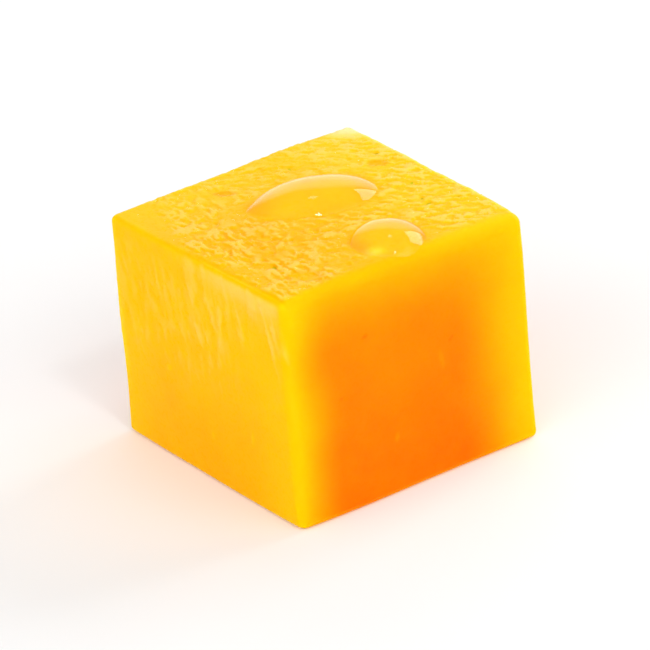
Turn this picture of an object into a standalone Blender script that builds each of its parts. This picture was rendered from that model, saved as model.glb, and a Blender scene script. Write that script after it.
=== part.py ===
"""A papaya cube: one diced block of ripe flesh with two clear drops of juice standing on its top.

Metres, +Z up. The block stands on its flat underside. The origin is the middle of that underside, -Y is the
front and +X the right. It is cut by hand, so its faces lean and bow a little, every edge has its own sharpness
and the cut flesh keeps low fibre ripples. The drops are one body with the flesh that they wet.

Points of the block are first given on a true box, as -1..1 along X, Y and Z, and then placed on the cut one.
"""

import math

import bmesh
import bpy
from mathutils import Matrix, Vector, noise

# The block: a one inch dice, from flesh that is a little thinner than an inch.
WIDTH = 0.0254
DEPTH = 0.0252
HEIGHT = 0.0210
HALF = Vector((WIDTH, DEPTH, HEIGHT)) / 2

# How far each hand cut corner lies from the true box. Keys are the corner's sides of the X, Y and Z axes.
CORNER_SHIFTS = {
    (-1, -1, 1): Vector((0.0002, 0.0003, 0.00025)),
    (1, -1, 1): Vector((-0.0001, 0.0002, 0.0001)),
    (-1, 1, 1): Vector((-0.0003, -0.0002, 0.00015)),
    (1, 1, 1): Vector((0.0002, 0.0000, 0.00035)),
    (-1, -1, -1): Vector((0.0000, -0.0003, 0.0)),
    (1, -1, -1): Vector((-0.0001, -0.0002, 0.0)),
    (-1, 1, -1): Vector((0.0002, 0.0004, 0.0)),
    (1, 1, -1): Vector((0.0000, 0.0001, 0.0)),
}

# Edge radii, by the two axes that an edge lies between and its side of each.
X, Y, Z = 0, 1, 2
EDGE_RADII = {
    (X, Y): {(-1, -1): 0.0012, (1, -1): 0.0007, (-1, 1): 0.0006, (1, 1): 0.0021},
    (X, Z): {(-1, -1): 0.0005, (1, -1): 0.0005, (-1, 1): 0.0005, (1, 1): 0.0008},
    (Y, Z): {(-1, -1): 0.0006, (1, -1): 0.0005, (-1, 1): 0.0014, (1, 1): 0.0007},
}
EDGE_FOCUS = 8  # how quickly one edge's radius gives way to the next

# The mesh: cells across the top, cells down each side, how far they crowd towards the edges, 0 to 1, and how large
# each ring of the underside is beside the one outside it. The last ring bounds the one flat face, the foot, and it
# draws in a little between its corners, so that the block rests on those.
TOP_CELLS = 42
SIDE_CELLS = 14
CROWDING = 0.72
UNDERSIDE_RINGS = (0.94, 0.85)
FOOT_WAIST = 0.02
SMALLEST_EDGE = 2e-5  # shorter edges, left where the drops meet the flesh, are closed up

# Relief of the cut flesh: each layer's height, its length along the fibres and across them.
KNIFE_WAVE = 0.00016
KNIFE_WAVE_LENGTH = 0.0085
RIPPLE_HEIGHT = 0.00013
RIPPLE_ALONG = 0.0034
RIPPLE_ACROSS = 0.0015
STREAK_HEIGHT = 0.00006
STREAK_ALONG = 0.0052
STREAK_ACROSS = 0.0016
FIBRE_TURN = math.radians(-28)
CALM_MARGIN = 0.0022  # the ripples fade out over this distance from the soft front edge

# The thin lip that the knife left along the front half of the top's left edge, and the groove behind it.
GROOVE_OFFSET = 0.0003
GROOVE_WIDTH = 0.00035
GROOVE_DEPTH = 0.00014
GROOVE_END = 0.0020
GROOVE_RUNOUT = 0.0040

# Each juice drop: middle, length, width and height above the top, its turn about Z, how much wider its right end is
# than its left, and how far the middle of its round form lies below the top, which sets how steeply it meets it.
DROPS = {
    "large_drop": {
        "middle": (0.0013, 0.0026),
        "length": 0.0116,
        "width": 0.0071,
        "height": 0.0015,
        "turn": math.radians(-15),
        "taper": 0.14,
        "sunk": 0.0016,
    },
    "small_drop": {
        "middle": (0.0012, -0.0083),
        "length": 0.0066,
        "width": 0.0066,
        "height": 0.0015,
        "turn": math.radians(4),
        "taper": 0.05,
        "sunk": 0.0015,
    },
}
DROP_SEGMENTS = 40
DROP_RINGS = 28
DROP_FOOT = 0.0006  # how deep a drop's solid reaches into the flesh

FLESH_COLOUR = (1.0, 0.48, 0.012, 1.0)
SHARP_ANGLE = math.radians(38)


def clear_scene():
    """Removes every object of the startup scene."""
    for obj in list(bpy.data.objects):
        bpy.data.objects.remove(obj, do_unlink=True)


def crowded(t):
    """Moves a grid position in -1..1 towards the nearer edge, so that edges get more cells than the middle."""
    return (1 - CROWDING) * t + CROWDING * math.sin(math.pi / 2 * t)


def edge_radius(n):
    """Radius of the edge or corner that n lies on or near."""
    total = weights = 0.0
    for (i, j), radii in EDGE_RADII.items():
        side = (1 if n[i] > 0 else -1, 1 if n[j] > 0 else -1)
        weight = abs(n[i] * n[j]) ** EDGE_FOCUS + 1e-6
        total += weight * radii[side]
        weights += weight
    return total / weights


def corner_shift(n):
    """The corners' shifts, blended for a point between them."""
    shift = Vector()
    for corner, moved in CORNER_SHIFTS.items():
        share = 1.0
        for side, t in zip(corner, n):
            share *= (1 + side * t) / 2
        shift += share * moved
    return shift


def layer(along, across, depth, length_along, length_across):
    """One layer of smooth noise, about -1..1, drawn out along the fibres."""
    return noise.noise(Vector((along / length_along, across / length_across, depth)))


def top_relief(p):
    """Fibre ripples of the top, calm near the front edge, with the groove behind the left edge's lip."""
    along = p.x * math.cos(FIBRE_TURN) + p.y * math.sin(FIBRE_TURN)
    across = p.y * math.cos(FIBRE_TURN) - p.x * math.sin(FIBRE_TURN)
    ripples = layer(along, across, 2.5, RIPPLE_ALONG, RIPPLE_ACROSS)
    calm = min(1.0, max(0.0, (p.y + HALF.y) / CALM_MARGIN - 0.5))
    from_lip = (p.x + HALF.x - GROOVE_OFFSET) / GROOVE_WIDTH
    reach = min(1.0, max(0.0, (GROOVE_END - p.y) / GROOVE_RUNOUT))
    groove = reach * math.exp(-from_lip * from_lip)
    return calm * RIPPLE_HEIGHT * ripples - GROOVE_DEPTH * groove


def side_relief(p):
    """Fibre streaks that run down the sides."""
    across = math.atan2(p.y, p.x) * HALF.x
    return STREAK_HEIGHT * layer(p.z, across, 7.5, STREAK_ALONG, STREAK_ACROSS)


def relief(p, out):
    """How far the surface stands proud of the clean cut at p, where out is the way it faces."""
    wave = KNIFE_WAVE * noise.noise(p / KNIFE_WAVE_LENGTH + Vector((3.1, 1.7, 0.4)))
    up = max(out.z, 0.0) ** 2
    level = 1 - out.z * out.z
    return (up + level) * wave + up * top_relief(p) + level * side_relief(p)


def placed(n):
    """Where the true box's point n lies on the cut block."""
    p = Vector((crowded(t) * half for t, half in zip(n, HALF)))
    radius = edge_radius(n)
    core = Vector((min(max(c, radius - half), half - radius) for c, half in zip(p, HALF)))
    out = (p - core).normalized()
    p = core + out * radius
    p += out * relief(p, out) + corner_shift(n)
    p.z = max(p.z + HALF.z, 0.0)
    return p


def extruded(bm, rim):
    """Extrudes the open rim in place and returns the new rim."""
    made = bmesh.ops.extrude_edge_only(bm, edges=rim)["geom"]
    return [g for g in made if isinstance(g, bmesh.types.BMEdge) and g.is_boundary]


def ends(rim):
    """The vertices of a rim, once each."""
    return {v for edge in rim for v in edge.verts}


def block_mesh():
    """The cut block as one closed mesh: a grid on top, rings down the sides and one flat face underneath."""
    bm = bmesh.new()
    bmesh.ops.create_grid(bm, x_segments=TOP_CELLS, y_segments=TOP_CELLS, size=1)
    for v in bm.verts:
        v.co.z = 1
    rim = [edge for edge in bm.edges if edge.is_boundary]
    for ring in range(1, SIDE_CELLS + 1):
        rim = extruded(bm, rim)
        for v in ends(rim):
            v.co.z = 1 - 2 * ring / SIDE_CELLS
    for size in UNDERSIDE_RINGS:
        rim = extruded(bm, rim)
        for v in ends(rim):
            v.co.x *= size
            v.co.y *= size
    for v in ends(rim):
        from_middle, to_corner = sorted((abs(v.co.x), abs(v.co.y)))
        waist = 1 - FOOT_WAIST * (1 - (from_middle / to_corner) ** 2)
        v.co.x *= waist
        v.co.y *= waist
    bmesh.ops.contextual_create(bm, geom=rim)
    for v in bm.verts:
        v.co = placed(v.co)
    bmesh.ops.recalc_face_normals(bm, faces=bm.faces)
    mesh = bpy.data.meshes.new("papaya_cube")
    bm.to_mesh(mesh)
    bm.free()
    return mesh


def drop_point(v, drop):
    """Where a point of the unit sphere lies on a drop, about its middle at the height of the flesh."""
    wider = 1 + drop["taper"] * v.x
    rise = drop["height"] + drop["sunk"]
    # The outline is measured where the round form crosses the flesh, which is above its own widest line.
    spread = 1 / math.sqrt(1 - (drop["sunk"] / rise) ** 2)
    return Vector((
        v.x * spread * drop["length"] / 2,
        v.y * spread * wider * drop["width"] / 2,
        v.z * rise - drop["sunk"],
    ))


def drop_object(name, drop, top):
    """One juice drop: the cap of a round form, cut off flat a little way under the flesh."""
    bm = bmesh.new()
    bmesh.ops.create_uvsphere(bm, u_segments=DROP_SEGMENTS, v_segments=DROP_RINGS, radius=1)
    for v in bm.verts:
        v.co = drop_point(v.co, drop)
    whole = bm.verts[:] + bm.edges[:] + bm.faces[:]
    foot = Vector((0, 0, -DROP_FOOT))
    cut = bmesh.ops.bisect_plane(bm, geom=whole, plane_co=foot, plane_no=(0, 0, 1), clear_inner=True)["geom_cut"]
    bmesh.ops.contextual_create(bm, geom=[g for g in cut if isinstance(g, bmesh.types.BMEdge)])
    bmesh.ops.recalc_face_normals(bm, faces=bm.faces)
    mesh = bpy.data.meshes.new(name)
    bm.to_mesh(mesh)
    bm.free()
    obj = bpy.data.objects.new(name, mesh)
    obj.matrix_world = Matrix.Translation((*drop["middle"], top)) @ Matrix.Rotation(drop["turn"], 4, "Z")
    return obj


def flesh_material():
    """Wet ripe flesh, warm yellow-orange."""
    material = bpy.data.materials.new("papaya_flesh")
    material.use_nodes = True
    shader = material.node_tree.nodes["Principled BSDF"]
    shader.inputs["Base Color"].default_value = FLESH_COLOUR
    shader.inputs["Roughness"].default_value = 0.3
    shader.inputs["Metallic"].default_value = 0.0
    material.diffuse_color = FLESH_COLOUR
    return material


def join_drops(block):
    """Fuses the drops to the block in one union and removes their own objects."""
    drops = bpy.data.collections.new("drops")
    bpy.context.scene.collection.children.link(drops)
    for name, drop in DROPS.items():
        x, y = drop["middle"]
        top = placed(Vector((x / HALF.x, y / HALF.y, 1))).z
        drops.objects.link(drop_object(name, drop, top))
    union = block.modifiers.new("drops", "BOOLEAN")
    union.operation = "UNION"
    union.operand_type = "COLLECTION"
    union.collection = drops
    union.solver = "EXACT"
    bpy.context.view_layer.objects.active = block
    bpy.ops.object.modifier_apply(modifier=union.name)
    for obj in list(drops.objects):
        bpy.data.objects.remove(obj, do_unlink=True)
    bpy.data.collections.remove(drops)


def upper(elements):
    """Those faces or edges that lie in the upper half of the block, which leaves out the flat underside."""
    return [element for element in elements if min(v.co.z for v in element.verts) > HALF.z]


def close_up_slivers(mesh):
    """Closes up the very short edges that the union leaves along the drops' feet."""
    bm = bmesh.new()
    bm.from_mesh(mesh)
    bmesh.ops.triangulate(bm, faces=upper(bm.faces))
    bmesh.ops.dissolve_degenerate(bm, edges=upper(bm.edges), dist=SMALLEST_EDGE)
    bm.to_mesh(mesh)
    bm.free()


def main():
    """Builds the one solid of the papaya cube."""
    clear_scene()
    block = bpy.data.objects.new("papaya_cube", block_mesh())
    bpy.context.scene.collection.objects.link(block)
    join_drops(block)
    close_up_slivers(block.data)
    block.data.materials.append(flesh_material())
    block.data.shade_smooth()
    block.data.set_sharp_from_angle(angle=SHARP_ANGLE)


main()
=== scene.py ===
"""Looks of the papaya cube: one diced cube of ripe flesh with two clear drops of juice.

Metres in the frame's axes: +Z is up, -Y the smooth front face and -X the side with the fibre
streaks. Only fades and marks are in millimetres. Geometry Nodes give the flesh its real fibres
and scatter the fine beads of juice.
"""

from __future__ import annotations

import logging
import math
from dataclasses import dataclass, field
from enum import Enum
from typing import Optional, Union

import bmesh
import bpy
from mathutils import Matrix, Quaternion, Vector, noise


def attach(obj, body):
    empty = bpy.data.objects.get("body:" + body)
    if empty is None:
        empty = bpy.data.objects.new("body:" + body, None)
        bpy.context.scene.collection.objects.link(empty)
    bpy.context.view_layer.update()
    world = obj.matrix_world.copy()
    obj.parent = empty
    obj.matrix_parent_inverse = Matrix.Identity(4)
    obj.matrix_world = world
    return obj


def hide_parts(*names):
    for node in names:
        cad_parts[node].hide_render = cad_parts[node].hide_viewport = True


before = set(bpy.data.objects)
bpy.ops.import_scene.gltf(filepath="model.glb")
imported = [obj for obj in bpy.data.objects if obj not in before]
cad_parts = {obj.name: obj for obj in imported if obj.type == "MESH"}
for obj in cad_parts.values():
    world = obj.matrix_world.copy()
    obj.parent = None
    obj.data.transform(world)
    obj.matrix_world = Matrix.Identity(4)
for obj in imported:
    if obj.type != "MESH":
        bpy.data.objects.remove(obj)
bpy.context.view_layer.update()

LOG = logging.getLogger("papaya_cube")
NODE = "papaya_cube"
BODY = "root"
MM = 0.001

Node = bpy.types.Node
Socket = bpy.types.NodeSocket
Tree = bpy.types.GeometryNodeTree
Material = bpy.types.Material
Mesh = bpy.types.Mesh
Piece = bpy.types.Object
Colour = tuple[float, float, float, float]
Value = Union[float, int, bool, tuple, Socket]
Inputs = dict[Union[str, int], Value]
Span = tuple[float, float]  # where a change starts and where it is full
Fade = tuple[float, float]  # the same, in millimetres

ALWAYS: Fade = (-2000.0, -1000.0)  # full everywhere on the cube


class Op(Enum):
    """The sums that a node can do."""

    ADD = "ADD"
    SUBTRACT = "SUBTRACT"
    MULTIPLY = "MULTIPLY"
    MULTIPLY_ADD = "MULTIPLY_ADD"
    ABSOLUTE = "ABSOLUTE"
    MAXIMUM = "MAXIMUM"
    SCALE = "SCALE"
    DOT = "DOT_PRODUCT"


class Face(Enum):
    """The block's faces: the axis that each lies across, and its side of it."""

    LEFT = (0, -1)
    RIGHT = (0, 1)
    FRONT = (1, -1)
    BACK = (1, 1)
    TOP = (2, 1)
    UNDERSIDE = (2, -1)

    def others(self) -> list[int]:
        """The two axes that run along the face."""
        return [axis for axis in range(3) if axis != self.value[0]]


class Driver(Enum):
    """What brings out a colour of the flesh; each lays painted light, sheen or shade."""

    LIGHT = "light"
    RELIEF = "relief"
    STRAND = "strand"
    PALE = "pale"


class Graph:
    """Writes the nodes of one tree, for a finish or for a rule of shape."""

    def __init__(self, tree: bpy.types.NodeTree) -> None:
        """Keeps the tree to write in."""
        self.tree = tree

    def feed(self, socket: Socket, value: Value) -> None:
        """Links a socket to another, or sets its value.

        Args:
            socket: The input to feed.
            value: An output socket, a number or a tuple.
        """
        if isinstance(value, Socket):
            self.tree.links.new(value, socket)
        else:
            socket.default_value = value

    def node(self, kind: str, values: Optional[Inputs] = None, **settings: object) -> Node:
        """Adds a node.

        Args:
            kind: The node's type name.
            values: What its inputs get, by name or number.
            **settings: The node's own settings.

        Returns:
            The new node.
        """
        made = self.tree.nodes.new(kind)
        for name, setting in settings.items():
            setattr(made, name, setting)
        for name, value in (values or {}).items():
            self.feed(made.inputs[name], value)
        return made

    def sum(self, op: Op, *values: Value, clamp: bool = False) -> Socket:
        """One sum of numbers.

        Args:
            op: What is done.
            *values: What it is done to.
            clamp: Whether the result is kept in 0 to 1.

        Returns:
            The result's socket.
        """
        made = self.node("ShaderNodeMath", operation=op.value, use_clamp=clamp)
        for socket, value in zip(made.inputs, values):
            self.feed(socket, value)
        return made.outputs[0]

    def vector(self, op: Op, *values: Value) -> Socket:
        """One sum of vectors, where SCALE takes a vector and a number.

        Args:
            op: What is done.
            *values: What it is done to.

        Returns:
            The socket of the resulting vector, or of DOT's number.
        """
        made = self.node("ShaderNodeVectorMath", operation=op.value)
        sockets = [made.inputs[0], made.inputs["Scale"]] if op is Op.SCALE else made.inputs
        for socket, value in zip(sockets, values):
            self.feed(socket, value)
        return made.outputs["Value" if op is Op.DOT else "Vector"]

    def ramp(self, value: Value, low: Value, high: Value, start: Value = 0.0, end: Value = 1.0) -> Socket:
        """A smooth step from start to end while value goes from low to high."""
        values = {"Value": value, "From Min": low, "From Max": high, "To Min": start, "To Max": end}
        return self.node("ShaderNodeMapRange", values, interpolation_type="SMOOTHSTEP").outputs[0]

    def noise(self, vector: Value, size: float = 1.0, detail: float = 2.0, roughness: float = 0.5) -> Node:
        """A noise texture, whose outputs are a number about 0.5 and a colour of three such numbers."""
        values = {"Vector": vector, "Scale": 1 / size, "Detail": detail, "Roughness": roughness}
        return self.node("ShaderNodeTexNoise", values)

    def blend(self, factor: Value, a: Value, b: Value) -> Socket:
        """A colour between a, where factor is 0, and b, where it is 1."""
        made = self.node("ShaderNodeMix", {0: factor, 6: a, 7: b}, data_type="RGBA")
        return made.outputs[2]


def share(value: float, start: float, end: float) -> float:
    """How far value is on its way from start to end, kept in 0 to 1."""
    return min(1.0, max(0.0, (value - start) / (end - start)))


def eased(value: float, start: float, end: float) -> float:
    """A smooth step from 0 where value is start to 1 where it is end."""
    t = share(value, start, end)
    return t * t * (3 - 2 * t)


def through(value: float, fade: Fade) -> float:
    """A smooth step from 0 to 1 while value, in metres, goes through a fade."""
    return eased(value, fade[0] * MM, fade[1] * MM)


def direction(azimuth: float, elevation: float) -> Vector:
    """The way, in degrees, from the cube to something round it. Azimuth 0 is at -Y and 90 at +X."""
    a, e = math.radians(azimuth), math.radians(elevation)
    return Vector((math.sin(a) * math.cos(e), -math.cos(a) * math.cos(e), math.sin(e)))


def new_object(name: str, data: bpy.types.ID) -> Piece:
    """An object at the origin.

    Args:
        name: Its name.
        data: Its mesh, in place, or its light or camera.

    Returns:
        The object, in the scene.
    """
    made = bpy.data.objects.new(name, data)
    bpy.context.scene.collection.objects.link(made)
    return made


def new_mesh(name: str, bm: bmesh.types.BMesh) -> Mesh:
    """A smooth mesh with its faces pointing outwards, made from a bmesh that this frees.

    Args:
        name: Its name.
        bm: The closed shape, in place.

    Returns:
        The mesh.
    """
    bmesh.ops.recalc_face_normals(bm, faces=bm.faces)
    mesh = bpy.data.meshes.new(name)
    bm.to_mesh(mesh)
    bm.free()
    mesh.shade_smooth()
    return mesh


def new_material(name: str, constants: dict[str, Value]) -> tuple[Material, Graph, Node]:
    """Starts a finish.

    Args:
        name: Its name.
        constants: What is the same all over, by the shader's input.

    Returns:
        The material, its graph and its shader.
    """
    made = bpy.data.materials.new(name)
    made.use_nodes = True
    shader = made.node_tree.nodes["Principled BSDF"]
    for socket, value in constants.items():
        shader.inputs[socket].default_value = value
    return made, Graph(made.node_tree), shader


def new_tree(name: str, inputs: dict[str, str]) -> tuple[Tree, Graph, Node]:
    """Starts a Geometry Nodes tree that takes a piece, its sizes and a material.

    Args:
        name: The tree's name.
        inputs: The kind of each named input.

    Returns:
        The tree, its graph and the node that gives the inputs.
    """
    tree = bpy.data.node_groups.new(name, "GeometryNodeTree")
    for socket, kind in {"Geometry": "Geometry", **inputs, "Material": "Material"}.items():
        tree.interface.new_socket(socket, in_out="INPUT", socket_type="NodeSocket" + kind)
    tree.interface.new_socket("Geometry", in_out="OUTPUT", socket_type="NodeSocketGeometry")
    graph = Graph(tree)
    return tree, graph, graph.node("NodeGroupInput")


def end_tree(graph: Graph, geometry: Value, material: Value) -> None:
    """Ends a Geometry Nodes tree: plain meshes in one finish.

    Args:
        graph: The tree's graph.
        geometry: What it made.
        material: The finish.
    """
    real = graph.node("GeometryNodeRealizeInstances", {0: geometry}).outputs[0]
    dressed = graph.node("GeometryNodeSetMaterial", {"Geometry": real, "Material": material})
    graph.node("NodeGroupOutput", {0: dressed.outputs[0]})


def shaped(obj: Piece, tree: Tree, inputs: dict[str, object]) -> Piece:
    """Runs a Geometry Nodes tree on an object and keeps the result as its own plain mesh.

    Args:
        obj: The object.
        tree: The tree.
        inputs: Values by the input's name, which are set by its identifier.

    Returns:
        The same object, with the finished mesh and no modifier.
    """
    modifier = obj.modifiers.new(tree.name, "NODES")
    modifier.node_group = tree
    for item in tree.interface.items_tree:
        if item.in_out == "INPUT" and item.name in inputs:
            modifier[item.identifier] = inputs[item.name]
    graph = bpy.context.evaluated_depsgraph_get()
    mesh = bpy.data.meshes.new_from_object(obj.evaluated_get(graph))
    mesh.name = obj.name
    obj.modifiers.clear()
    obj.data = mesh
    return obj


@dataclass(frozen=True)
class Spot:
    """A point of the flesh's surface.

    box is the point as -1..1 along each axis of the true box, place where it lies on the cut
    block, and out the way the surface faces there.
    """

    box: Vector
    place: Vector
    out: Vector

    def facing(self, face: Face, power: int = 2) -> float:
        """A power of how squarely the surface faces a side: 1 straight at it, 0 from a right angle on."""
        axis, side = face.value
        return max(0.0, side * self.out[axis]) ** power


@dataclass(frozen=True)
class Drop:
    """One drop of juice on the top, as the cap of a round form.

    Its outline is measured where it meets the flesh. taper is how much wider its right end is
    than its left, sunk how far the middle of its round form lies under the flesh, and ends how
    much painted shade deepens the flesh's tone under its ends. glow is where the light that it
    gathers falls and how bright it is. It and the spans are measured from the middle, with the
    outline at 1.
    """

    name: str
    middle: tuple[float, float]
    length: float
    width: float
    height: float
    turn: float
    taper: float
    sunk: float
    ends: float
    glow: tuple[float, float, float]
    glow_size: float = 0.44
    wet: float = 0.05
    wet_edge: Span = (0.90, 1.05)
    left_end: Span = (0.35, 0.95)
    right_end: Span = (0.40, 0.80)
    foot: Span = (0.94, 1.15)

    @property
    def spread(self) -> float:
        """How much wider the whole round form is than the outline on the flesh."""
        return 1 / math.sqrt(1 - (self.sunk / (self.height + self.sunk)) ** 2)

    def own_place(self, place: Vector) -> tuple[float, float]:
        """Where a point of the top lies on the drop, with the outline at 1 from the middle.

        Args:
            place: The point.

        Returns:
            Its place along and across the drop.
        """
        dx, dy = place.x - self.middle[0], place.y - self.middle[1]
        along = (dx * math.cos(self.turn) + dy * math.sin(self.turn)) / (self.length / 2)
        across = (dy * math.cos(self.turn) - dx * math.sin(self.turn)) / (self.width / 2)
        return along, across / (1 + self.taper * max(-1.0, min(1.0, along)))

    def clear_at(self, place: Vector) -> float:
        """0 where the drop stands on the flesh and 1 clear of it."""
        return eased(math.hypot(*self.own_place(place)), *self.foot)

    def depth_at(self, place: Vector) -> float:
        """How much deeper the wet flesh's tone is under the drop, with painted shade that is most at its
        ends.

        Args:
            place: A point of the top.

        Returns:
            The depth, and 0 outside the drop.
        """
        along, across = self.own_place(place)
        inside = 1 - eased(math.hypot(along, across), *self.wet_edge)
        ends = eased(-along, *self.left_end) + eased(along, *self.right_end)
        return inside * (self.wet + self.ends * ends)

    def glow_at(self, place: Vector) -> float:
        """How bright the light that the drop gathers is.

        Args:
            place: A point of the top.

        Returns:
            The brightness, and 0 away from the glow.
        """
        along, across = self.own_place(place)
        left, near, bright = self.glow
        return bright * (1 - eased(math.hypot(along - left, across - near), 0.0, self.glow_size))


# Each drop's ends deepen the tone under it as painted shade, and its glow paints in the light that it
# gathers.
DROPS = (
    Drop(
        name="large_drop", middle=(0.0013, 0.0026), length=0.0116, width=0.0071, height=0.0015,
        turn=math.radians(-15), taper=0.14, sunk=0.0016, ends=0.15, glow=(-0.55, -0.45, 0.15),
    ),
    Drop(
        name="small_drop", middle=(0.0012, -0.0083), length=0.0066, width=0.0066, height=0.0015,
        turn=math.radians(4), taper=0.05, sunk=0.0015, ends=0.27, glow=(-0.66, -0.40, 0.58),
    ),
)


@dataclass(frozen=True)
class Mark:
    """One mark that the knife or a seed left on a cut face, with a soft round or long outline.

    middle is its place along the face's two axes, turn the degrees from the first of them, rise
    how far it stands proud and deeper how much deeper its tone is: painted shade in a dent, and
    below 0 a paler, painted highlight on a raised mark. Lengths are in millimetres.
    fading is where it starts to fade and where it ends, with its outline at 1.
    """

    face: Face
    middle: tuple[float, float]
    length: float
    width: float
    turn: float
    rise: float
    deeper: float
    fading: Span = (0.35, 1.25)

    def strength(self, spot: Spot) -> float:
        """How strong the mark is at a point.

        Args:
            spot: The point.

        Returns:
            1 in its middle, and 0 well outside it or on another face.
        """
        axis, side = self.face.value
        if side * spot.out[axis] < 0.5:
            return 0.0
        places = zip(self.face.others(), self.middle)
        across, up = (spot.place[other] - at * MM for other, at in places)
        turn = math.radians(self.turn)
        along = (across * math.cos(turn) + up * math.sin(turn)) / (self.length * MM / 2)
        beside = (up * math.cos(turn) - across * math.sin(turn)) / (self.width * MM / 2)
        return 1 - eased(math.hypot(along, beside), *self.fading)


@dataclass(frozen=True)
class Tint:
    """A colour laid over the flesh: none of it where its driver is start, most where it is full."""

    driver: Driver
    colour: Colour
    start: float
    full: float
    most: float = 1.0


@dataclass(frozen=True)
class FleshFinish:
    """Ripe papaya flesh, moist and translucent, with painted light in its colour: a lit yellow, a shaded
    deep orange, painted sheen and painted shade.
    """

    # Painted light and shade: yellow where light falls or shines through the edges, deep orange in the
    # shade.
    lit_yellow: Colour = (0.99, 0.47, 0.0, 1.0)
    shaded_orange: Colour = (0.99, 0.13, 0.0, 1.0)
    tints: tuple[Tint, ...] = (
        Tint(Driver.LIGHT, (0.99, 0.66, 0.014, 1.0), 0.0, 1.0),  # painted rim light, sheen and the drops' gathered light
        Tint(Driver.RELIEF, (0.99, 0.61, 0.13, 1.0), 0.1, 0.9, 0.5),  # painted sheen on the fibres' ridges
        Tint(Driver.LIGHT, (0.99, 0.76, 0.32, 1.0), 0.45, 1.5),  # painted sheen at the back corner
        Tint(Driver.RELIEF, (0.66, 0.48, 0.0, 1.0), -0.62, -0.95, 0.9),  # painted shade in the crevices
        Tint(Driver.STRAND, (0.99, 0.54, 0.085, 1.0), 0.0, 1.3, 0.8),  # painted sheen on the strands and the lip
        Tint(Driver.PALE, (0.95, 0.56, 0.0, 1.0), 0.0, -1.0),  # painted shade in the groove and the hollows
    )
    cloud_size: float = 0.005
    clouding: float = 0.20
    ridge_light: float = 0.12
    grain_size: float = 0.00035
    grain_height: float = 0.00003
    grain_strength: float = 0.25
    grain_span: Span = (0.3, 0.7)
    roughness: Span = (0.22, 0.40)
    specular: float = 0.04
    ior: float = 1.35
    subsurface: float = 0.7
    radius: tuple[float, float, float] = (1.0, 0.5, 0.1)
    depth: float = 0.0025

    def material(self) -> Material:
        """Builds the flesh's material.

        Returns:
            The material.
        """
        made, graph, shader = new_material("papaya_flesh", {
            "IOR": self.ior,
            "Specular IOR Level": self.specular,
            "Subsurface Weight": self.subsurface,
            "Subsurface Radius": self.radius,
            "Subsurface Scale": self.depth,
        })
        shader.subsurface_method = "RANDOM_WALK"
        place = graph.node("ShaderNodeTexCoord").outputs["Object"]
        tone, relief, strand, pale = (
            graph.node("ShaderNodeAttribute", attribute_name=name).outputs["Fac"]
            for name in ("tone", "relief", "strand", "pale")
        )
        # The tone blends the painted yellow of light with the painted orange of shade, and the tints lay
        # painted sheen, rim light and shade over it.
        cloudy = graph.sum(Op.SUBTRACT, graph.noise(place, self.cloud_size, 3.0).outputs[0], 0.5)
        depth = graph.sum(Op.MULTIPLY_ADD, cloudy, self.clouding, tone, clamp=True)
        colour = graph.blend(depth, self.lit_yellow, self.shaded_orange)
        ridges = graph.sum(Op.MAXIMUM, relief, 0.0)
        light = graph.sum(Op.MULTIPLY_ADD, ridges, self.ridge_light, pale)
        driven = dict(zip(Driver, (light, relief, strand, pale)))
        for tint in self.tints:
            amount = graph.ramp(driven[tint.driver], tint.start, tint.full, 0.0, tint.most)
            colour = graph.blend(amount, colour, tint.colour)
        graph.feed(shader.inputs["Base Color"], colour)

        grain = graph.noise(place, self.grain_size, 3.0, 0.6).outputs[0]
        rough = graph.ramp(grain, *self.grain_span, *self.roughness)
        graph.feed(shader.inputs["Roughness"], rough)
        bump = {"Height": grain, "Strength": self.grain_strength, "Distance": self.grain_height}
        graph.feed(shader.inputs["Normal"], graph.node("ShaderNodeBump", bump).outputs[0])
        return made


@dataclass(frozen=True)
class JuiceFinish:
    """Clear papaya juice, hardly tinted."""

    tint: Colour = (1.0, 0.97, 0.80, 1.0)
    roughness: float = 0.02
    ior: float = 1.34

    def material(self) -> Material:
        """Builds the juice's material, which lets light through to the flesh under it.

        Returns:
            The material.
        """
        made, graph, shader = new_material("juice_drop", {
            "Base Color": self.tint,
            "Roughness": self.roughness,
            "IOR": self.ior,
            "Transmission Weight": 1.0,
        })
        lit = graph.node("ShaderNodeBsdfTransparent", {"Color": self.tint}).outputs[0]
        shadow = graph.node("ShaderNodeLightPath").outputs["Is Shadow Ray"]
        mixed = graph.node("ShaderNodeMixShader", {0: shadow, 1: shader.outputs[0], 2: lit})
        graph.feed(made.node_tree.nodes["Material Output"].inputs["Surface"], mixed.outputs[0])
        return made


@dataclass(frozen=True)
class FaceShading:
    """How deep the painted shade of one face is: deep orange on a shaded face, little on a lit one.

    It fades to a painted yellow glow towards the edges, where light shines through. near and far
    give, for the lower and the upper end of the two other axes, the distances from the edge at which
    it starts and is full, and paling how much of it is gone at the block's top, as painted light.
    """

    deepest: float
    near: tuple[Fade, Fade]
    far: tuple[Fade, Fade]
    paling: float = 0.0


# Painted shade deep in the middle of the hidden sides, with a painted glow at their edges.
HIDDEN_SIDE = FaceShading(0.70, ((1.0, 5.5), ALWAYS), ((1.0, 6.0), (-1.0, 11.0)))


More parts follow.
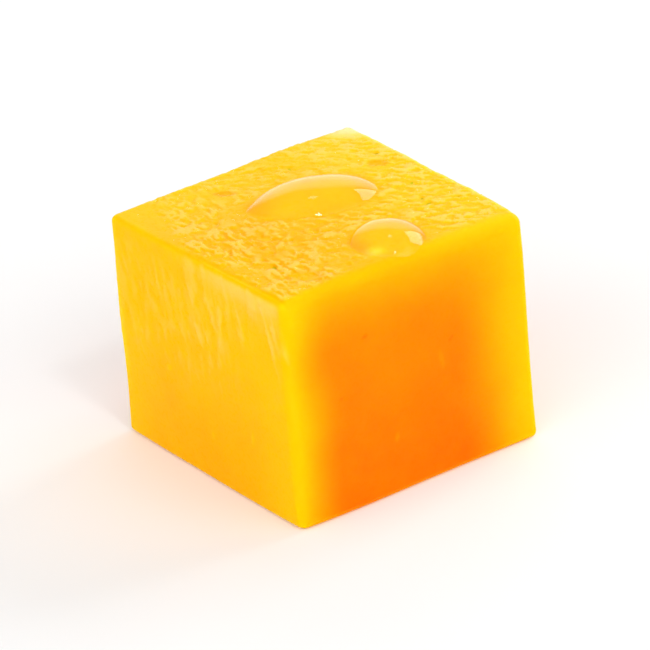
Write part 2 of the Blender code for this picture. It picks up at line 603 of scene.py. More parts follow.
@dataclass
class PapayaFlesh:
    """The hand cut block, with its own sharpness on every edge and fibres on its cut faces."""

    width: float = 0.0254
    depth: float = 0.0252
    height: float = 0.0210
    top_cells: int = 164
    side_cells: int = 96
    crowding: float = 0.15
    underside_rings: tuple[float, ...] = (0.94, 0.88, 0.5)
    edge_focus: int = 8
    corner_shifts: dict[tuple[int, int, int], tuple] = field(default_factory=lambda: {
        (-1, -1, 1): (0.0002, 0.0003, 0.00025),
        (1, -1, 1): (-0.0001, 0.0002, 0.0001),
        (-1, 1, 1): (-0.0003, -0.0002, 0.00015),
        (1, 1, 1): (0.0002, 0.0000, 0.00035),
        (-1, -1, -1): (0.0000, -0.0003, 0.0),
        (1, -1, -1): (-0.0001, -0.0002, 0.0),
        (-1, 1, -1): (0.0002, 0.0004, 0.0),
        (1, 1, -1): (0.0000, 0.0001, 0.0),
    })
    edge_radii: dict[tuple[int, int], dict[tuple[int, int], float]] = field(
        default_factory=lambda: {
            (0, 1): {(-1, -1): 0.0012, (1, -1): 0.0007, (-1, 1): 0.0006, (1, 1): 0.0021},
            (0, 2): {(-1, -1): 0.0005, (1, -1): 0.0005, (-1, 1): 0.0005, (1, 1): 0.0008},
            (1, 2): {(-1, -1): 0.0006, (1, -1): 0.0005, (-1, 1): 0.0014, (1, 1): 0.0007},
        }
    )
    knife_wave: float = 0.00016
    knife_wave_length: float = 0.0085
    knife_wave_start: tuple[float, float, float] = (3.1, 1.7, 0.4)

    # The groove behind the lip, whose painted shade drifts from it and is narrower.
    groove_offset: float = 0.0003
    groove_width: float = 0.00035
    groove_depth: float = 0.00016
    groove_end: float = 0.0020
    groove_runout: float = 0.0040
    groove_drift: float = 0.0002
    groove_drifts: Fade = (0.0, 12.0)
    groove_shade_width: float = 0.7

    # The painted sheen of the lip along the top of the -X face, from its crest down.
    lip_crest: float = 0.0002
    lip_starts: Fade = (0.2, 0.7)
    lip_thins: Fade = (1.0, 2.4)
    lip_thinned: float = 0.7
    lip_stops: Fade = (2.4, 4.5)
    lip_front: Fade = (0.7, 1.7)
    lip_longer: float = 0.001
    fringe_rise: Fade = (10.5, 17.22)
    fringe_shorter: float = 0.002

    # Painted sheen on the top and painted rim light along the thin back edges.
    top_sheen: float = 0.21
    top_sheen_grows: tuple[tuple[float, Fade, Fade], ...] = (
        (0.27, (-2.0, 10.0), ALWAYS), (0.04, ALWAYS, (2.0, 11.0)), (0.15, (5.0, -3.0), (3.0, 9.0)),
    )
    # Less painted sheen under the drops and painted shade in the hollows.
    wet_sheen_loss: float = 0.55
    hollow_shade: float = 0.75
    painted_rim_light: float = 0.7
    rim_fade: Fade = (0.1, 0.8)
    corner_sheen: float = 1.2
    corner_fade: Fade = (0.5, 4.0)
    upright_rim_light: float = 0.5
    upright_fade: Fade = (0.3, 1.5)
    upright_rise: Fade = (2.0, 8.0)

    # Where the torn fibres calm down, with a front edge that is wider in the middle.
    calm_edge: float = 0.0005
    calm_wider: float = 0.0012
    calm_narrower: float = 0.0008
    calm_fade: float = 0.0012
    rough_from_left: Fade = (0.4, 1.1)
    rough_back: Fade = (4.0, 10.0)
    back_calm: float = 0.25
    wedge_calm: float = 0.85
    wet_calm: float = 0.85
    hollow_calm: float = 0.6

    # The smooth wedge at the top's back left.
    wedge_width: float = 0.0008
    wedge_wider: float = 0.0026
    wedge_widens: Fade = (2.0, 11.0)
    wedge_starts: Fade = (1.0, 6.0)
    wedge_edge: Span = (0.5, 1.4)
    wedge_tone: float = 0.03

    # Fibre streaks down the sides, with more on the upper left face.
    streaks: dict[Face, float] = field(default_factory=lambda: {
        Face.LEFT: 0.11, Face.RIGHT: 0.26, Face.BACK: 0.26, Face.FRONT: 0.06,
    })
    upper_streaks: float = 0.35
    upper_rise: Fade = (7.14, 10.5)
    upper_end: Fade = (-1.0, 4.0)
    under_lip: Fade = (1.0, 4.0)
    from_front: Fade = (-7.0, -1.0)
    front_bare: float = 0.75

    # Painted light and shade of each face: deepest orange on the shaded front, yellow on the lit left face
    # and top.
    tones: dict[Face, FaceShading] = field(default_factory=lambda: {
        Face.LEFT: FaceShading(0.28, ((0.5, 7.0), ALWAYS), ((-2.0, 8.0), (-2.5, 20.0)), 0.72),
        Face.RIGHT: HIDDEN_SIDE,
        Face.FRONT: FaceShading(0.97, ((-0.7, 5.0), ALWAYS), ((-0.6, 8.2), (-3.8, 6.0)), 0.25),
        Face.BACK: HIDDEN_SIDE,
        Face.TOP: FaceShading(0.13, ((-1.0, 5.0), (-2.0, 5.0)), ((-2.0, 14.0), (-1.0, 12.0))),
        Face.UNDERSIDE: FaceShading(0.60, ((0.0, 4.0), (0.0, 4.0)), ((0.0, 4.0), (0.0, 4.0))),
    })
    tone_wander: float = 0.0007
    tone_wander_length: float = 0.0055
    # Each mark's tone is painted shade in a dent and a paler painted highlight on a raised one.
    marks: tuple[Mark, ...] = (
        Mark(Face.TOP, (-7.9, -9.0), 3.4, 2.4, -45, -0.16, 0.05),
        Mark(Face.TOP, (-6.1, -1.0), 1.9, 1.1, -60, -0.12, 0.04),
        Mark(Face.TOP, (-2.5, -2.9), 1.6, 0.9, -40, -0.10, 0.02),
        Mark(Face.TOP, (9.6, 4.2), 2.0, 1.4, -30, -0.12, 0.04),
        Mark(Face.TOP, (-3.4, 8.6), 2.2, 1.0, -45, -0.08, 0.15),
        Mark(Face.FRONT, (3.0, 10.8), 2.0, 0.6, 100, 0.03, -0.10),
        Mark(Face.FRONT, (4.2, 12.4), 0.9, 0.25, 40, -0.04, 0.10),
        Mark(Face.FRONT, (-2.2, 5.3), 0.9, 0.6, 80, 0.05, -0.12),
        Mark(Face.FRONT, (-4.6, 15.6), 0.7, 0.4, 10, -0.05, 0.16),
        Mark(Face.FRONT, (-7.6, 10.8), 0.5, 0.4, 0, -0.04, 0.08),
        Mark(Face.LEFT, (-8.7, 17.2), 1.1, 0.3, 95, 0.06, -0.30),
        Mark(Face.LEFT, (5.3, 9.0), 0.7, 0.6, 0, 0.06, -0.30),
        Mark(Face.LEFT, (-0.4, 4.6), 0.9, 0.35, 85, 0.05, -0.15),
        Mark(Face.LEFT, (-6.3, 6.4), 1.6, 0.4, 95, 0.05, -0.15),
    )

    @property
    def half(self) -> Vector:
        """Half the block's size."""
        return Vector((self.width, self.depth, self.height)) / 2

    def crowded(self, t: float) -> float:
        """Moves a grid position in -1..1 towards the nearer edge."""
        return (1 - self.crowding) * t + self.crowding * math.sin(math.pi / 2 * t)

    def edge_radius(self, n: Vector) -> float:
        """Radius of the edge or corner that a point of the true box lies on or near.

        Args:
            n: The point, as -1..1 along each axis.

        Returns:
            The radius.
        """
        total = weights = 0.0
        for (i, j), radii in self.edge_radii.items():
            side = (1 if n[i] > 0 else -1, 1 if n[j] > 0 else -1)
            weight = abs(n[i] * n[j]) ** self.edge_focus + 1e-6
            total += weight * radii[side]
            weights += weight
        return total / weights

    def corner_shift(self, n: Vector) -> Vector:
        """The corners' shifts, blended for a point between them.

        Args:
            n: The point, as -1..1 along each axis.

        Returns:
            How far it lies from the true box.
        """
        shift = Vector()
        for corner, moved in self.corner_shifts.items():
            part = 1.0
            for side, t in zip(corner, n):
                part *= (1 + side * t) / 2
            shift += part * Vector(moved)
        return shift

    def cut(self, p: Vector, out: Vector) -> float:
        """How far the knife's wave and the lip's groove put the surface out or in.

        Args:
            p: A point of the surface, about the block's middle.
            out: The way the surface faces there.

        Returns:
            The distance, outwards.
        """
        at = p / self.knife_wave_length + Vector(self.knife_wave_start)
        wave = self.knife_wave * noise.noise(at)
        up = max(out.z, 0.0) ** 2
        from_lip = (p.x + self.half.x - self.groove_offset) / self.groove_width
        groove = self.groove_depth * self.lip_reach(p.y) * math.exp(-from_lip * from_lip)
        return (up + 1 - out.z * out.z) * wave - up * groove

    def spot(self, n: Vector) -> Spot:
        """Where a point of the true box lies on the cut block.

        Args:
            n: The point, as -1..1 along each axis.

        Returns:
            The point of the surface.
        """
        p = Vector((self.crowded(t) * half for t, half in zip(n, self.half)))
        radius = self.edge_radius(n)
        core = Vector((min(max(c, radius - half), half - radius) for c, half in zip(p, self.half)))
        out = (p - core).normalized()
        p = core + out * radius
        p += out * self.cut(p, out) + self.corner_shift(n)
        p.z = max(p.z + self.half.z, 0.0)
        return Spot(n, p, out)

    def top_at(self, x: float, y: float) -> float:
        """Height of the top at a point of the plan."""
        return self.spot(Vector((x / self.half.x, y / self.half.y, 1))).place.z

    def lip_reach(self, y: float) -> float:
        """How much of the lip there is along the top's left edge: all at the front, none behind."""
        return min(1.0, max(0.0, (self.groove_end - y) / self.groove_runout))

    def lip_at(self, spot: Spot) -> float:
        """How much painted sheen the lip has.

        Args:
            spot: A point of the surface.

        Returns:
            1 on the lip and 0 clear of it.
        """
        under = self.height + self.lip_crest - spot.place.z
        below = through(under, self.lip_starts) * (1 - through(under, self.lip_stops))
        below *= 1 - self.lip_thinned * through(under, self.lip_thins)
        below *= through(spot.place.y + self.half.y, self.lip_front)
        return spot.facing(Face.LEFT) * self.lip_reach(spot.place.y + self.lip_longer) * below

    def fringe_at(self, spot: Spot) -> float:
        """How strongly the raised fingers, with painted sheen, hang from the lip, 0 to 1."""
        reach = self.lip_reach(spot.place.y - self.fringe_shorter)
        return spot.facing(Face.LEFT) * reach * through(spot.place.z, self.fringe_rise)

    def groove_at(self, spot: Spot) -> float:
        """How much of the groove's painted shade there is.

        Args:
            spot: A point of the surface.

        Returns:
            1 in the bottom of the groove and 0 clear of it.
        """
        place = spot.place
        line = self.groove_offset + self.groove_drift * through(-place.y, self.groove_drifts)
        width = self.groove_shade_width * self.groove_width
        from_lip = (place.x + self.half.x - line) / width
        return spot.facing(Face.TOP, 1) * self.lip_reach(place.y) * math.exp(-from_lip * from_lip)

    def hollow_at(self, spot: Spot) -> float:
        """1 in the middle of the hollows on the top and 0 clear of them."""
        return sum(mark.strength(spot) for mark in self.marks if mark.face is Face.TOP)

    def wet_at(self, place: Vector) -> float:
        """1 where a drop stands on the flesh and 0 clear of them."""
        return 1 - min(drop.clear_at(place) for drop in DROPS)

    def painted_light_at(self, spot: Spot) -> float:
        """How much painted light the flesh has: painted sheen on the top and painted rim light along the
        edges at the back.

        Args:
            spot: A point of the surface.

        Returns:
            Most at the top's back right corner, below 0 for the painted shade in the groove and the
            hollows.
        """
        place = spot.place
        from_back, from_right = self.half.y - place.y, self.half.x - place.x
        upright = spot.facing(Face.LEFT) * (1 - through(from_back, self.upright_fade))
        upright *= self.upright_rim_light * through(place.z, self.upright_rise)
        rim = self.painted_rim_light * (1 - through(min(from_back, from_right), self.rim_fade))
        from_corner = math.hypot(from_right, from_back)
        corner = self.corner_sheen * (1 - through(from_corner, self.corner_fade))
        top = self.top_sheen
        top += sum(most * through(place.x, x) * through(place.y, y) for most, x, y in self.top_sheen_grows)
        # Less painted sheen under the drops, painted shade in the hollows, and the light that the drops
        # gather painted in.
        top *= 1 - self.wet_sheen_loss * self.wet_at(place)
        top -= self.hollow_shade * self.hollow_at(spot)
        top += sum(drop.glow_at(place) for drop in DROPS)
        return upright + spot.facing(Face.TOP) * (top + rim + corner) - self.groove_at(spot)

    def rough_at(self, spot: Spot) -> float:
        """How strongly the torn fibres stand on the top, 0 to 1.

        Args:
            spot: A point of the surface.

        Returns:
            0 on the sides and along the calm front edge, and little under the drops.
        """
        place = spot.place
        calm = self.calm_edge + self.calm_wider * eased(place.x, -self.half.x, 0.0)
        calm -= self.calm_narrower * eased(place.x, 0.0, self.half.x)
        front = eased(place.y + self.half.y, calm, calm + self.calm_fade)
        left = through(place.x + self.half.x, self.rough_from_left)
        wedge = 1 - self.wedge_calm * self.wedge_at(place)
        back = 1 - self.back_calm * through(place.y, self.rough_back)
        spots = (1 - self.wet_calm * self.wet_at(place)) * (1 - self.hollow_calm * self.hollow_at(spot))
        return spot.facing(Face.TOP, 3) * front * left * wedge * back * spots

    def wedge_at(self, place: Vector) -> float:
        """How much of the smooth wedge that the knife left at the back left corner there is.

        Args:
            place: A point of the top.

        Returns:
            1 on the wedge and 0 elsewhere.
        """
        wide = self.wedge_width + self.wedge_wider * through(place.y, self.wedge_widens)
        start, end = (wide * edge for edge in self.wedge_edge)
        return through(place.y, self.wedge_starts) * (1 - eased(place.x + self.half.x, start, end))

    def streaks_at(self, spot: Spot) -> float:
        """How strongly fibre streaks run down the sides, 0 to 1.

        Args:
            spot: A point of the surface.

        Returns:
            Most on the upper left face, least on the smooth front one.
        """
        place = spot.place
        under = self.height - place.z
        upper = through(place.z, self.upper_rise) * through(under, self.upper_end)
        upper *= 1 - self.lip_reach(place.y) * (1 - through(under, self.under_lip))
        upper *= 1 - self.front_bare * (1 - through(place.y, self.from_front))
        strength = self.upper_streaks * upper * spot.facing(Face.LEFT)
        strength += sum(amount * spot.facing(face) for face, amount in self.streaks.items())
        return (1 - spot.out.z * spot.out.z) * strength

    def tone_at(self, spot: Spot) -> float:
        """How deep the flesh's colour is, mostly painted shade and painted glow.

        Args:
            spot: A point of the surface.

        Returns:
            0 for the painted yellow glow of its edges, 1 for the deepest painted shade.
        """
        place = spot.place
        total = 0.0
        wander = self.tone_wander * noise.noise(place / self.tone_wander_length)
        for face, tone in self.tones.items():
            facing = spot.facing(face)
            if facing == 0.0:
                continue
            missing = 0.0
            for other, near, far in zip(face.others(), tone.near, tone.far):
                half = self.half[other]
                at = self.crowded(spot.box[other]) * half
                for from_edge, (start, end) in ((half + at, near), (half - at, far)):
                    missing += (1 - share(from_edge + wander, start * MM, end * MM)) ** 2
            depth = tone.deepest * (1 - tone.paling * place.z / self.height)
            total += facing * depth * eased(1 - math.sqrt(missing), 0.0, 1.0)
        # The marks add painted shade in their dents and painted highlight on the raised ones; under the
        # drops' ends lies painted shade.
        total += sum(mark.deeper * mark.strength(spot) for mark in self.marks)
        top = self.wedge_tone * self.wedge_at(place) + sum(drop.depth_at(place) for drop in DROPS)
        return total + spot.facing(Face.TOP) * top

    def smooth_block(self) -> Piece:
        """The block before its fibres: a grid on top, rings down the sides, a flat underside.

        Returns:
            The object, whose mesh carries rough, streaks, fringe, lip, the painted light and tone.
        """
        bm = bmesh.new()
        bmesh.ops.create_grid(bm, x_segments=self.top_cells, y_segments=self.top_cells, size=1)
        for v in bm.verts:
            v.co.z = 1
        rim = [edge for edge in bm.edges if edge.is_boundary]
        rings = range(1, self.side_cells + 1)
        sizes = [(1.0, 1 - 2 * ring / self.side_cells) for ring in rings]
        sizes += [(size, -1.0) for size in self.underside_rings]
        for size, z in sizes:
            made = bmesh.ops.extrude_edge_only(bm, edges=rim)["geom"]
            rim = [g for g in made if isinstance(g, bmesh.types.BMEdge) and g.is_boundary]
            for v in {v for edge in rim for v in edge.verts}:
                v.co = Vector((v.co.x * size, v.co.y * size, z))
        bmesh.ops.contextual_create(bm, geom=rim)
        rules = {
            "rough": self.rough_at, "streaks": self.streaks_at, "fringe": self.fringe_at,
            "lip": self.lip_at, "pale": self.painted_light_at, "tone": self.tone_at,
        }
        layers = {name: bm.verts.layers.float.new(name) for name in rules}
        for v in bm.verts:
            spot = self.spot(v.co.copy())
            for name, rule in rules.items():
                v[layers[name]] = rule(spot)
            rise = sum(mark.rise * MM * mark.strength(spot) for mark in self.marks)
            v.co = spot.place + spot.out * rise
        return new_object(NODE + "_flesh", new_mesh(NODE + "_flesh", bm))

    def build(self, material: Material) -> Piece:
        """Makes the flesh in a finish."""
        return FibreRelief().give(self.smooth_block(), material)


@dataclass(frozen=True)
class FibreRelief:
    """The rule by which torn fibres, pits and streaks stand on the cut flesh, in Geometry Nodes.

    On the top, one layer of fibres rules at -X and the other at +X. A span gives the values of a
    noise between which a form rises.
    """

    left_turn: float = math.radians(-96)
    left_layer: float = 3.0
    right_turn: float = math.radians(-44)
    right_layer: float = 11.0
    right_from: Span = (-0.009, 0.003)
    ridge_height: float = 0.00010
    ridge_along: float = 0.0012
    ridge_across: float = 0.0005
    ridge_span: Span = (0.37, 0.58)
    trough: float = -0.6
    sway: float = 0.0009
    sway_length: float = 0.001
    patch_size: float = 0.003
    patch_span: Span = (0.32, 0.58)
    patch_least: float = 0.35
    pit_depth: float = 0.00014
    pit_spacing: float = 0.0012
    pit_span: Span = (0.08, 0.34)
    pit_choice: Span = (0.45, 0.8)
    lean: float = math.radians(16)
    streak_height: float = 0.00006
    streak_along: float = 0.0019
    streak_across: float = 0.0007
    streak_span: Span = (0.34, 0.64)
    streak_trough: float = -0.4
    streak_sway: float = 0.6
    streak_patches: float = 0.2
    # The fingers that hang from the lip stand raised and carry painted sheen.
    finger_along: float = 0.0055
    finger_across: float = 0.0010
    finger_span: Span = (0.52, 0.68)
    finger_strand: float = 0.7
    finger_sheen: float = 0.08

    def fibres(self, g: Graph, place: Value, turn: float, layer: float) -> Socket:
        """Adds one layer of torn fibres: low tufts that run along the turn, with troughs between.

        Args:
            g: The tree.
            place: Where it is read.
            turn: The fibres' way, about Z from +X.
            layer: Sets one layer apart from another.

        Returns:
            The layer's height, from the trough to 1.
        """
        size = (1 / self.ridge_along, 1 / self.ridge_across, 1 / self.ridge_across)
        turned = g.node("ShaderNodeVectorRotate", {"Vector": place, "Angle": -turn}, rotation_type="Z_AXIS")
        spot = g.vector(Op.ADD, g.vector(Op.MULTIPLY, turned.outputs[0], size), (0.0, 0.0, layer))
        return g.ramp(g.noise(spot, roughness=0.55).outputs[0], *self.ridge_span, self.trough, 1.0)

    def tree(self) -> Tree:
        """Writes the tree. Its named inputs are the sizes of the relief.

        Returns:
            The tree.
        """
        sizes = ("Ridge height", "Pit depth", "Streak height")
        tree, g, given = new_tree("fibre_relief", dict.fromkeys(sizes, "Float"))
        ridge_height, pit_depth, streak_height = (given.outputs[name] for name in sizes)
        place = g.node("GeometryNodeInputPosition").outputs[0]
        out = g.node("GeometryNodeInputNormal").outputs[0]
        rough, streaks, fringe, lip, pale = (
            g.node("GeometryNodeInputNamedAttribute", {"Name": name}).outputs[0]
            for name in ("rough", "streaks", "fringe", "lip", "pale")
        )

        sway = g.noise(place, self.sway_length, 1.0).outputs[1]
        sway = g.vector(Op.SCALE, g.vector(Op.SUBTRACT, sway, (0.5, 0.5, 0.5)), self.sway)
        swayed = g.vector(Op.ADD, place, sway)
        across = g.node("ShaderNodeSeparateXYZ", {0: place}).outputs[0]
        to_right = g.ramp(across, *self.right_from)
        to_left = g.sum(Op.SUBTRACT, 1.0, to_right)
        left = self.fibres(g, swayed, self.left_turn, self.left_layer)
        right = self.fibres(g, swayed, self.right_turn, self.right_layer)
        fibres = g.sum(Op.MULTIPLY_ADD, right, to_right, g.sum(Op.MULTIPLY, left, to_left))
        patches = g.noise(place, self.patch_size, 1.0).outputs[0]
        patches = g.ramp(patches, *self.patch_span, self.patch_least, 1.0)
        raised = g.sum(Op.MULTIPLY, g.sum(Op.MULTIPLY, fibres, patches), rough)

        spacing = {"Vector": swayed, "Scale": 1 / self.pit_spacing}
        cells = g.node("ShaderNodeTexVoronoi", spacing).outputs
        hollow = g.ramp(cells["Distance"], *self.pit_span, 1.0, 0.0)
        chosen = g.node("ShaderNodeSeparateXYZ", {0: cells["Color"]}).outputs[0]
        hollow = g.sum(Op.MULTIPLY, hollow, g.ramp(chosen, *self.pit_choice))
        sunk = g.sum(Op.MULTIPLY, hollow, rough)

        bent = g.vector(Op.ADD, place, g.vector(Op.SCALE, sway, self.streak_sway))
        lean = {"Vector": bent, "Angle": self.lean}
        bent = g.node("ShaderNodeVectorRotate", lean, rotation_type="X_AXIS").outputs[0]
        size = (1 / self.streak_across, 1 / self.streak_across, 1 / self.streak_along)
        strands = g.noise(g.vector(Op.MULTIPLY, bent, size)).outputs[0]
        strands = g.ramp(strands, *self.streak_span, self.streak_trough, 1.0)
        strands = g.sum(Op.MULTIPLY, strands, g.sum(Op.ADD, patches, self.streak_patches))
        lines = g.sum(Op.MULTIPLY, strands, streaks)
        size = (1 / self.finger_across, 1 / self.finger_across, 1 / self.finger_along)
        fingers = g.noise(g.vector(Op.MULTIPLY, bent, size), detail=1.0).outputs[0]
        fingers = g.sum(Op.MULTIPLY, g.ramp(fingers, *self.finger_span), fringe)

        top = g.sum(Op.MULTIPLY, raised, ridge_height)
        top = g.sum(Op.SUBTRACT, top, g.sum(Op.MULTIPLY, sunk, pit_depth))
        sides = g.sum(Op.MULTIPLY, g.sum(Op.ADD, lines, fingers), streak_height)
        offset = g.vector(Op.SCALE, out, g.sum(Op.ADD, top, sides))
        geometry = {"Geometry": given.outputs["Geometry"], "Offset": offset}
        finished = g.node("GeometryNodeSetPosition", geometry).outputs[0]
        # The strands, fingers and lip carry painted sheen, and the fingers add to the painted light.
        hung = g.sum(Op.MULTIPLY_ADD, fingers, self.finger_strand, lip)
        stored = {
            "relief": g.sum(Op.SUBTRACT, raised, sunk),
            "strand": g.sum(Op.ADD, lines, hung),
            "pale": g.sum(Op.MULTIPLY_ADD, fingers, self.finger_sheen, pale),
        }
        for name, value in stored.items():
            kept = {"Geometry": finished, "Name": name, "Value": value}
            finished = g.node("GeometryNodeStoreNamedAttribute", kept).outputs[0]
        end_tree(g, finished, given.outputs["Material"])
        return tree

    def give(self, obj: Piece, material: Material) -> Piece:
        """Gives a smooth piece the relief and a finish."""
        return shaped(obj, self.tree(), {
            "Ridge height": self.ridge_height,
            "Pit depth": self.pit_depth,
            "Streak height": self.streak_height,
            "Material": material,
        })


@dataclass
class JuiceDrops:
    """The clear drops that stand on the top."""

    flesh: PapayaFlesh
    segments: int = 112
    rings: int = 40
    foot: float = 0.00025
    uneven: float = 0.05
    lumps: float = 1.3
    sharp_angle: float = math.radians(60)

    def mesh(self, drop: Drop) -> Mesh:
        """A drop's closed mesh: its cap, down to a little under the flesh, and a flat underside.

        Args:
            drop: The drop.

        Returns:
            The mesh, in place.
        """
        rise = drop.height + drop.sunk
        lowest = math.acos((drop.sunk - self.foot) / rise)
        top = self.flesh.top_at(*drop.middle)
        turn = Matrix.Rotation(drop.turn, 2)
        bm = bmesh.new()
        pole = bm.verts.new((*drop.middle, top + drop.height))
        last = None
        for ring in range(1, self.rings + 1):
            angle = lowest * ring / self.rings
            z = top + math.cos(angle) * rise - drop.sunk
            row = []
            for segment in range(self.segments):
                around = 2 * math.pi * segment / self.segments
                x, y = math.sin(angle) * math.cos(around), math.sin(angle) * math.sin(around)
                lump = Vector((math.cos(around), math.sin(around), drop.length / MM)) * self.lumps
                size = drop.spread * (1 + self.uneven * noise.noise(lump)) / 2
                own = Vector((x * size * drop.length, y * size * (1 + drop.taper * x) * drop.width))
                row.append(bm.verts.new((*(turn @ own + Vector(drop.middle)), z)))
            for i in range(self.segments):
                j = (i + 1) % self.segments
                side = (pole, row[i], row[j]) if last is None else (last[i], row[i], row[j], last[j])
                bm.faces.new(side)
            last = row
        bm.faces.new(list(reversed(last)))
        mesh = new_mesh(drop.name, bm)
        mesh.set_sharp_from_angle(angle=self.sharp_angle)
        return mesh

    def build(self, material: Material) -> list[Piece]:
        """Makes the drops.

        Args:
            material: Their finish.

        Returns:
            One piece for each.
        """
        made = []
        for drop in DROPS:
            mesh = self.mesh(drop)
            mesh.materials.append(material)
            made.append(new_object(drop.name, mesh))
        return made


@dataclass(frozen=True)
class JuiceBeads:
    """Fine beads of juice that stand on the cut flesh, scattered by Geometry Nodes."""

    density: float = 260000.0
    radius: float = 0.00012
    flatness: float = 0.5
    smallest: float = 0.45
    largest: float = 1.5
    seed: int = 7
    size_seed: int = 3

    def tree(self) -> Tree:
        """Writes the tree, which replaces the flesh that it is given by the beads on it.

        Returns:
            The tree.
        """
        sizes = dict.fromkeys(("Beads for each square metre", "Radius", "Flatness"), "Float")
        tree, g, given = new_tree("juice_beads", {**sizes, "Seed": "Int"})
        rough = g.node("GeometryNodeInputNamedAttribute", {"Name": "rough"}).outputs[0]
        wet = g.sum(Op.MULTIPLY, rough, given.outputs["Beads for each square metre"])
        points = g.node("GeometryNodeDistributePointsOnFaces", {
            "Mesh": given.outputs["Geometry"], "Density": wet, "Seed": given.outputs["Seed"],
        }).outputs
        bead = {"Radius": given.outputs["Radius"], "Subdivisions": 2}
        bead = g.node("GeometryNodeMeshIcoSphere", bead).outputs[0]
        size = {2: self.smallest, 3: self.largest, "Seed": self.size_seed}
        size = g.node("FunctionNodeRandomValue", size).outputs[1]
        flat = g.sum(Op.MULTIPLY, size, given.outputs["Flatness"])
        spread = g.node("GeometryNodeInstanceOnPoints", {
            "Points": points["Points"],
            "Instance": g.node("GeometryNodeSetShadeSmooth", {"Geometry": bead}).outputs[0],
            "Rotation": points["Rotation"],
            "Scale": g.node("ShaderNodeCombineXYZ", {0: size, 1: size, 2: flat}).outputs[0],
        })
        end_tree(g, spread.outputs[0], given.outputs["Material"])
        return tree

    def build(self, flesh: Piece, material: Material) -> Piece:
        """Makes all beads that stand on the finished flesh, as one piece in a finish."""
        return shaped(new_object("juice_beads", flesh.data.copy()), self.tree(), {
            "Beads for each square metre": self.density,
            "Radius": self.radius,
            "Flatness": self.flatness,
            "Seed": self.seed,
            "Material": material,
        })


@dataclass(frozen=True)
class SoftBox:
    """A soft square studio light that faces the cube."""

    name: str
    azimuth: float
    elevation: float
    distance: float
    size: float
    watts: float

    def build(self, aim: Vector) -> None:
        """Hangs the light.

        Args:
            aim: The point that it faces.
        """
        data = bpy.data.lights.new(self.name, "AREA")
        data.shape = "SQUARE"
        data.size = self.size
        data.energy = self.watts
        light = new_object(self.name, data)
        back = direction(self.azimuth, self.elevation)
        light.location = aim + back * self.distance
        light.rotation_mode = "QUATERNION"
        light.rotation_quaternion = back.to_track_quat("Z", "Y")
        light.visible_camera = False


@dataclass(frozen=True)
class Glow:
    """A soft light about a direction, whose rim and full part are cosines of the angle to it."""

    azimuth: float
    elevation: float
    rim: float
    full: float
    strength: float
    both_ways: bool = False

    def light(self, graph: Graph, way: Value) -> Socket:
        """Adds the light.

        Args:
            graph: The surroundings' graph.
            way: The direction that is looked in.

        Returns:
            Its strength there.
        """
        near = graph.vector(Op.DOT, way, tuple(direction(self.azimuth, self.elevation)))
        if self.both_ways:
            near = graph.sum(Op.ABSOLUTE, near)
        return graph.ramp(near, self.rim, self.full, 0.0, self.strength)


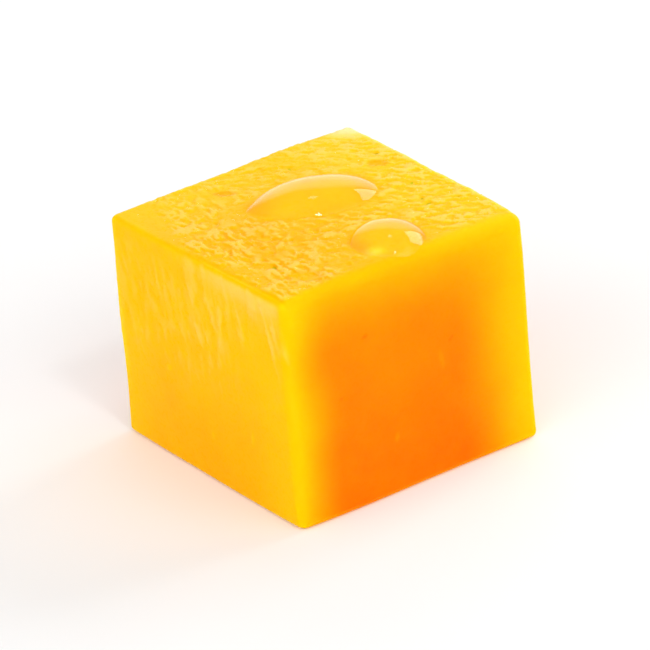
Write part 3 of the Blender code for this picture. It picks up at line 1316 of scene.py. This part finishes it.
@dataclass(frozen=True)
class Studio:
    """The pale floor, the soft light and the camera."""

    floor_size: float = 6.0
    floor_colour: Colour = (0.93, 0.93, 0.93, 1.0)
    floor_roughness: float = 0.9
    dim: float = 0.34
    front: Glow = Glow(-34.5, 33.0, 0.20, 0.70, 2.0)
    front_top: Span = (0.62, 0.82)
    panel: Glow = Glow(142.0, 17.0, 0.82, 0.93, 1.3)
    sides: Glow = Glow(55.5, 0.0, 0.75, 0.95, 0.3, both_ways=True)
    azimuth: float = -34.5
    elevation: float = 26.6
    roll: float = math.radians(-4.3)
    distance: float = 0.583
    lens: float = 377.0
    sensor: float = 36.0
    clip: Span = (0.05, 20.0)
    boxes: tuple[SoftBox, ...] = (
        SoftBox("front_light", -9.0, 55.0, 0.60, 0.06, 0.32),
        SoftBox("high_light", 129.0, 71.0, 0.60, 0.06, 0.05),
        SoftBox("window_light", 92.0, 30.0, 0.60, 0.30, 1.3),
    )

    def floor(self) -> None:
        """Lays the floor."""
        mesh = bpy.data.meshes.new("floor")
        s = self.floor_size / 2
        mesh.from_pydata([(-s, -s, 0), (s, -s, 0), (s, s, 0), (-s, s, 0)], [], [(0, 1, 2, 3)])
        mesh.materials.append(new_material("pale_floor", {
            "Base Color": self.floor_colour,
            "Roughness": self.floor_roughness,
            "Specular IOR Level": 0.0,
        })[0])
        new_object("floor", mesh)

    def sky(self) -> None:
        """Hangs the surroundings: broad and low in front, a panel behind, and dim overhead."""
        world = bpy.data.worlds.new("studio")
        world.use_nodes = True
        graph = Graph(world.node_tree)
        way = graph.node("ShaderNodeTexCoord").outputs["Generated"]
        up = graph.node("ShaderNodeSeparateXYZ", {0: way}).outputs[2]
        low = graph.ramp(up, *self.front_top, 1.0, 0.0)
        front = graph.sum(Op.MULTIPLY, self.front.light(graph, way), low)
        ends = graph.sum(Op.ADD, front, self.panel.light(graph, way))
        sides = graph.sum(Op.ADD, self.sides.light(graph, way), self.dim)
        background = world.node_tree.nodes["Background"]
        background.inputs["Color"].default_value = (1.0, 1.0, 1.0, 1.0)
        graph.feed(background.inputs["Strength"], graph.sum(Op.ADD, ends, sides))
        bpy.context.scene.world = world

    def camera(self, aim: Vector) -> None:
        """Sets up the camera.

        Args:
            aim: The point in the middle of its picture.
        """
        data = bpy.data.cameras.new("camera")
        data.lens = self.lens
        data.sensor_width = self.sensor
        data.clip_start, data.clip_end = self.clip
        camera = new_object("camera", data)
        back = direction(self.azimuth, self.elevation)
        camera.location = aim + back * self.distance
        camera.rotation_mode = "QUATERNION"
        turn = Quaternion((0, 0, 1), self.roll)
        camera.rotation_quaternion = (-back).to_track_quat("-Z", "Y") @ turn
        bpy.context.scene.camera = camera

    def build(self, aim: Vector) -> None:
        """Builds everything round the cube.

        Args:
            aim: The cube's middle.
        """
        self.floor()
        self.sky()
        for box in self.boxes:
            box.build(aim)
        self.camera(aim)
        bpy.context.scene.view_settings.view_transform = "Standard"


def report(piece: Piece) -> None:
    """Logs a piece's name and size."""
    size = [round(side / MM, 2) for side in piece.dimensions]
    LOG.info("%s: %d faces, %s mm", piece.name, len(piece.data.polygons), size)


def main() -> None:
    """Builds the cube's pieces in order, then the studio."""
    logging.basicConfig(level=logging.INFO, format="%(name)s: %(message)s")
    flesh = PapayaFlesh()
    juice = JuiceFinish().material()
    body = flesh.build(FleshFinish().material())
    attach(body, BODY)
    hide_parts(NODE)
    report(body)
    for piece in [*JuiceDrops(flesh).build(juice), JuiceBeads().build(body, juice)]:
        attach(piece, BODY)
        report(piece)
    Studio().build(Vector((0.0, 0.0, flesh.half.z)))


if __name__ == "__main__":
    main()
